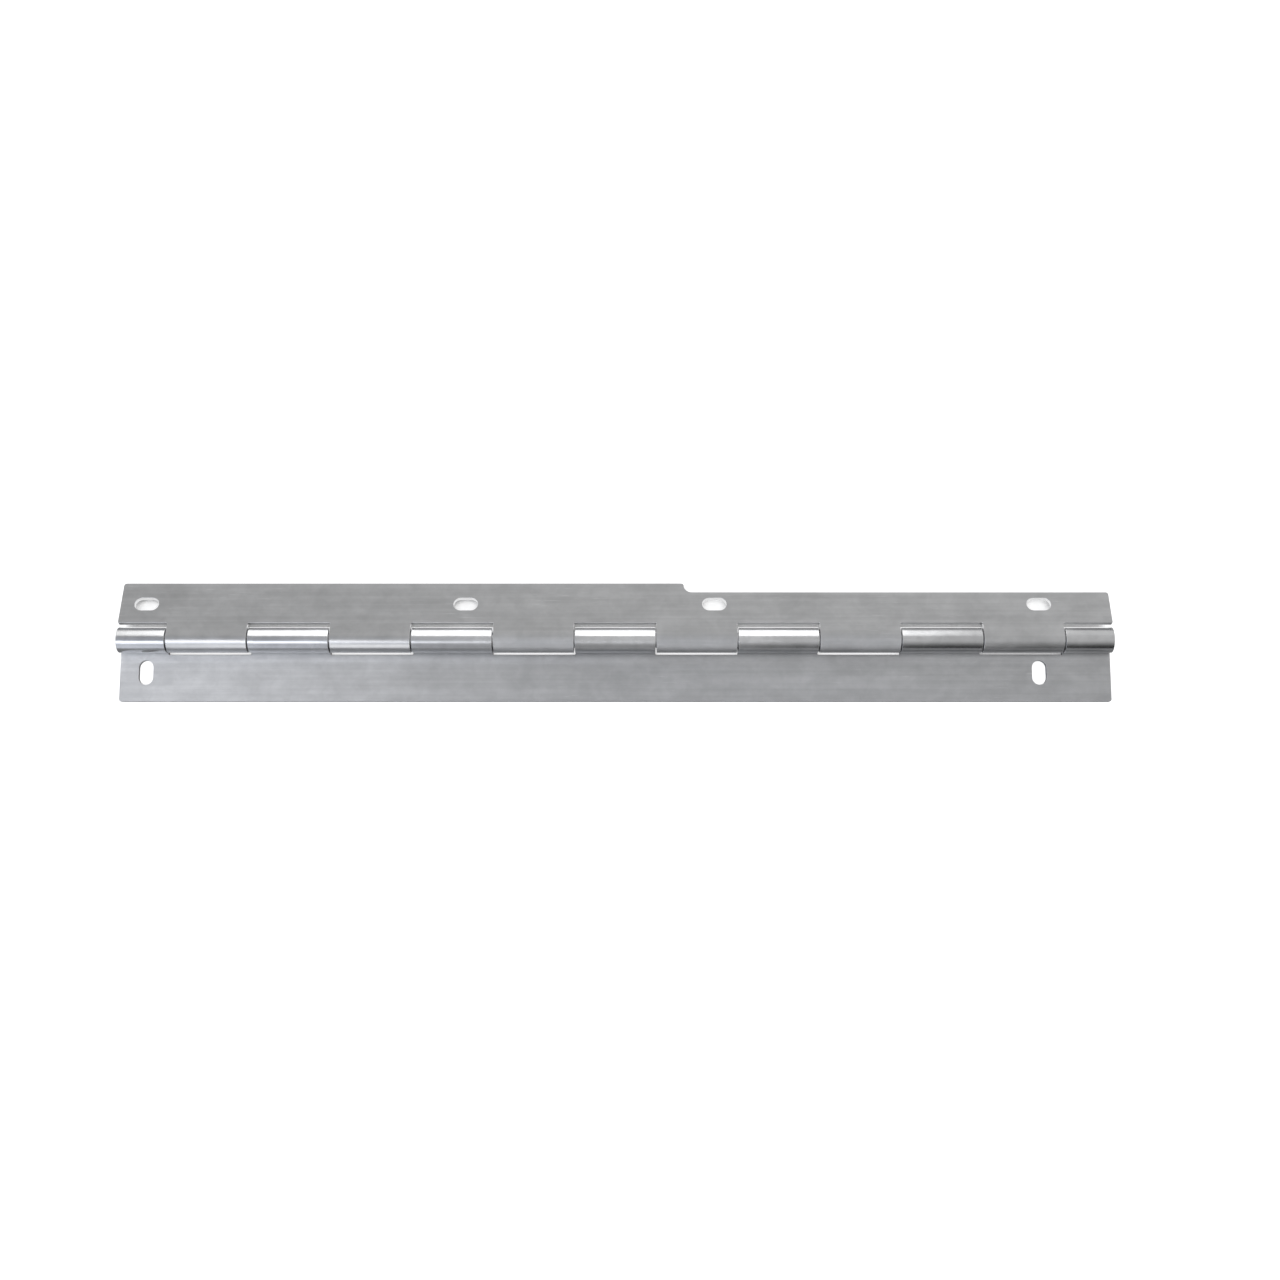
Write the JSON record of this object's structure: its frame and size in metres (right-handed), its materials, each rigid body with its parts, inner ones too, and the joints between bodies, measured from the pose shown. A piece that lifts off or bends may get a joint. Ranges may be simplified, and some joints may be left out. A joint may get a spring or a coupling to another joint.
{
  "type": "piano hinge",
  "caption": "Continuous steel hinge: slotted leaves, plain and stepped, rolled into alternating knuckles round a full-length pin, for lids, doors and panels.",
  "frame": {"origin": "centre of the plain leaf's smooth mounting face, half-way along the hinge", "axes": "+X along the pin; +Y in the plain leaf's plane, from the plain leaf to the stepped leaf; +Z out of the plain leaf on the barrel's side. At rest the hinge lies open on a flat surface and the stepped leaf's free edge touches it"},
  "size_m": [0.311, 0.0375, 0.008],
  "materials": {
    "plain_leaf_steel": "satin mill finish, lightly brushed and mottled, knuckles burnished by rolling",
    "stepped_leaf_steel": "satin mill finish, lightly brushed and mottled, knuckles burnished by rolling",
    "pin_steel": "drawn wire, ends hammered over"
  },
  "bodies": {
    "plain_leaf": {"plain_leaf": "plain_leaf_steel", "hinge_pin": "pin_steel"},
    "stepped_leaf": {"stepped_leaf": "stepped_leaf_steel"}
  },
  "joints": [
    {"name": "leaf_swing", "type": "hinge", "parent": "plain_leaf", "child": "stepped_leaf", "pos_m": [0, 0.00953, 0.00399], "axis": [1, 0, 0], "range_deg": [-131, 174]}
  ]
}
